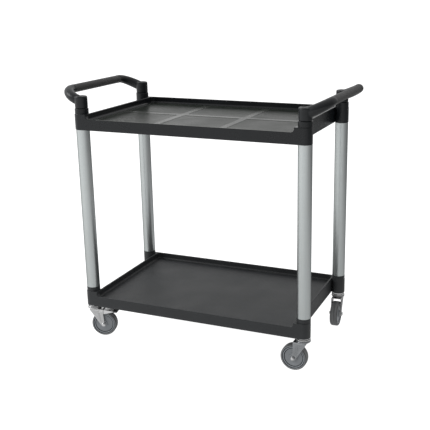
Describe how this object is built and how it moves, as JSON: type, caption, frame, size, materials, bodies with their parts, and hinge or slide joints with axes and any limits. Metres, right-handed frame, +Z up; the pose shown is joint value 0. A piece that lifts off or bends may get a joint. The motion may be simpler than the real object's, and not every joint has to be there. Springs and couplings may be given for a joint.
{
  "type": "food service trolley",
  "caption": "Two-tier service trolley with black moulded tray shelves on aluminium tubes, push handles at the ends and swivel casters.",
  "frame": {"origin": "on the floor under the middle of the trolley, wheels touching Z = 0", "axes": "+Z up, X along the long side from the left handle to the right handle, -Y the front with the low loading edges"},
  "size_m": [1.063, 0.512, 0.9921],
  "materials": {
    "upper_shelf": "glossy moulded polypropylene, near black",
    "lower_shelf": "moulded polypropylene, near black",
    "tube": "satin anodised aluminium tube",
    "handle": "moulded black plastic",
    "grip": "fine textured soft grip",
    "plug": "nylon insert",
    "stem": "zinc plated steel stem",
    "race": "zinc plated pressed steel",
    "fork": "zinc plated pressed steel",
    "axle": "zinc plated steel bolt",
    "nut": "zinc plated steel nut",
    "bush": "steel spacer sleeve",
    "wheel": "grey moulded wheel centre",
    "tyre": "grey non-marking rubber",
    "pedal_pin": "zinc plated steel pin",
    "pedal": "zinc plated pressed steel",
    "pedal_pad": "black foot pad"
  },
  "bodies": {
    "frame": {"upper_shelf": "upper_shelf", "lower_shelf": "lower_shelf", "tube_fl": "tube", "tube_fr": "tube", "tube_br": "tube", "tube_bl": "tube", "handle_left": "handle", "grip_left": "grip", "handle_right": "handle", "grip_right": "grip", "plug_fl": "plug", "stem_fl": "stem", "race_fl": "race", "plug_fr": "plug", "stem_fr": "stem", "race_fr": "race", "plug_br": "plug", "stem_br": "stem", "race_br": "race", "plug_bl": "plug", "stem_bl": "stem", "race_bl": "race"},
    "swivel_fl": {"fork_fl": "fork", "axle_fl": "axle", "nut_fl": "nut", "bush_fl": "bush", "pedal_pin_fl": "pedal_pin"},
    "wheel_fl": {"wheel_fl": "wheel", "tyre_fl": "tyre"},
    "pedal_fl": {"pedal_fl": "pedal", "pedal_pad_fl": "pedal_pad"},
    "swivel_fr": {"fork_fr": "fork", "axle_fr": "axle", "nut_fr": "nut", "bush_fr": "bush"},
    "wheel_fr": {"wheel_fr": "wheel", "tyre_fr": "tyre"},
    "swivel_br": {"fork_br": "fork", "axle_br": "axle", "nut_br": "nut", "bush_br": "bush"},
    "wheel_br": {"wheel_br": "wheel", "tyre_br": "tyre"},
    "swivel_bl": {"fork_bl": "fork", "axle_bl": "axle", "nut_bl": "nut", "bush_bl": "bush", "pedal_pin_bl": "pedal_pin"},
    "wheel_bl": {"wheel_bl": "wheel", "tyre_bl": "tyre"},
    "pedal_bl": {"pedal_bl": "pedal", "pedal_pad_bl": "pedal_pad"}
  },
  "joints": [
    {"name": "swivel_fl", "type": "hinge", "parent": "frame", "child": "swivel_fl", "pos_m": [-0.438, -0.2275, 0.115], "axis": [0, 0, 1], "continuous": true},
    {"name": "spin_fl", "type": "hinge", "parent": "swivel_fl", "child": "wheel_fl", "pos_m": [-0.4013, -0.21766, 0.05], "axis": [-0.2588, 0.9659, 0], "continuous": true},
    {"name": "brake_fl", "type": "hinge", "parent": "swivel_fl", "child": "pedal_fl", "pos_m": [-0.41482, -0.22129, 0.104], "axis": [-0.2588, 0.9659, 0], "range_deg": [0, 14]},
    {"name": "swivel_fr", "type": "hinge", "parent": "frame", "child": "swivel_fr", "pos_m": [0.438, -0.2275, 0.115], "axis": [0, 0, 1], "continuous": true},
    {"name": "spin_fr", "type": "hinge", "parent": "swivel_fr", "child": "wheel_fr", "pos_m": [0.404, -0.2275, 0.05], "axis": [0, -1, 0], "continuous": true},
    {"name": "swivel_br", "type": "hinge", "parent": "frame", "child": "swivel_br", "pos_m": [0.438, 0.2275, 0.115], "axis": [0, 0, 1], "continuous": true},
    {"name": "spin_br", "type": "hinge", "parent": "swivel_br", "child": "wheel_br", "pos_m": [0.43978, 0.19355, 0.05], "axis": [0.9986, 0.0523, 0], "continuous": true},
    {"name": "swivel_bl", "type": "hinge", "parent": "frame", "child": "swivel_bl", "pos_m": [-0.438, 0.2275, 0.115], "axis": [0, 0, 1], "continuous": true},
    {"name": "spin_bl", "type": "hinge", "parent": "swivel_bl", "child": "wheel_bl", "pos_m": [-0.40037, 0.22221, 0.05], "axis": [0.1392, 0.9903, 0], "continuous": true},
    {"name": "brake_bl", "type": "hinge", "parent": "swivel_bl", "child": "pedal_bl", "pos_m": [-0.41423, 0.22416, 0.104], "axis": [0.1392, 0.9903, 0], "range_deg": [0, 14]}
  ]
}
